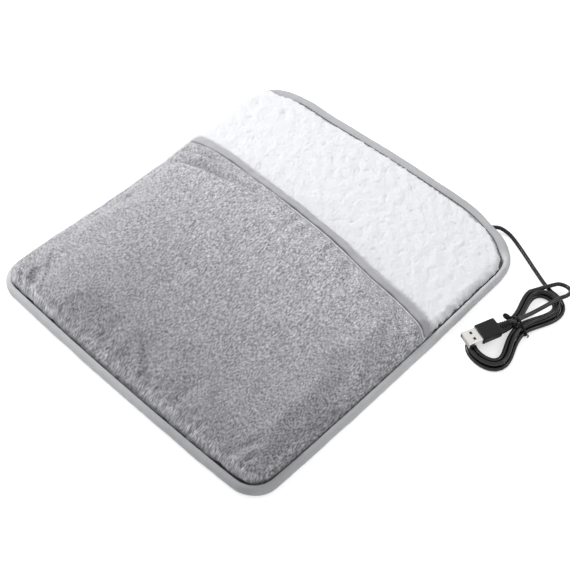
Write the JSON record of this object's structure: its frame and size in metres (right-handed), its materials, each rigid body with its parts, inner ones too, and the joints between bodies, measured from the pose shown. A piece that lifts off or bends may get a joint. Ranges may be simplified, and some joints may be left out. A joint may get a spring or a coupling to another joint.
{
  "type": "electric foot warmer",
  "caption": "Padded heated foot mat with a sewn plush foot pocket, fleece foot bed, rolled edge binding and a tied USB lead.",
  "frame": {"origin": "bottom centre of the mat, on the surface it lies on", "axes": "+Z up; +Y towards the open heel end where the lead leaves; +X to the right of a sitter whose toes point to -Y, seen from above with +Y up"},
  "size_m": [0.3273, 0.312, 0.0302],
  "materials": {
    "back_cloth": "woven backing cloth",
    "wadding": "loose polyester wadding",
    "carrier_cloth": "non-woven sheet",
    "heating_wire": "insulated resistance wire",
    "sherpa": "curly white pile",
    "binding_tape": "smooth short-napped tape",
    "seam_thread": "sewing thread",
    "plush": "soft plush nap",
    "hem_velvet": "smooth short nap",
    "cutoff_metal": "plain case",
    "insulating_film": "thin film sleeve",
    "joint_sleeve": "shrink sleeve",
    "red_insulation": "smooth insulation",
    "black_insulation": "smooth insulation",
    "cord_rubber": "satin black jacket",
    "tie_plastic": "glossy twist tie",
    "plug_rubber": "satin moulding",
    "plug_steel": "bright plated shell",
    "plug_plastic": "moulded tongue",
    "plug_contact": "plated contact"
  },
  "bodies": {
    "mat": {"base_back_panel": "back_cloth", "base_padding": "wadding", "heater_carrier_cloth": "carrier_cloth", "heating_wire": "heating_wire", "base_sherpa_lining": "sherpa", "edge_binding": "binding_tape", "binding_core": "wadding", "binding_thread": "seam_thread", "overheat_cutoff": "cutoff_metal", "cutoff_sleeve": "insulating_film", "wire_joint_feed": "joint_sleeve", "wire_joint_return": "joint_sleeve", "lead_wire_feed": "red_insulation", "lead_wire_return": "black_insulation", "link_wire": "black_insulation", "cord_gland": "cord_rubber", "usb_cord": "cord_rubber", "cord_hank": "cord_rubber", "cord_tie": "tie_plastic", "usb_strain_relief": "plug_rubber", "usb_overmould": "plug_rubber", "usb_shell": "plug_steel", "usb_tongue": "plug_plastic", "usb_contact_1": "plug_contact", "usb_contact_2": "plug_contact", "usb_contact_3": "plug_contact", "usb_contact_4": "plug_contact"},
    "pocket": {"pocket_sherpa_lining": "sherpa", "pocket_padding": "wadding", "pocket_outer_cover": "plush", "pocket_hem_band": "hem_velvet", "hem_seam_thread": "seam_thread"}
  },
  "joints": [
    {"name": "pocket_lift", "type": "hinge", "parent": "mat", "child": "pocket", "pos_m": [0, -0.1446, 0.0123], "axis": [1, 0, 0], "range_deg": [0, 24]}
  ]
}
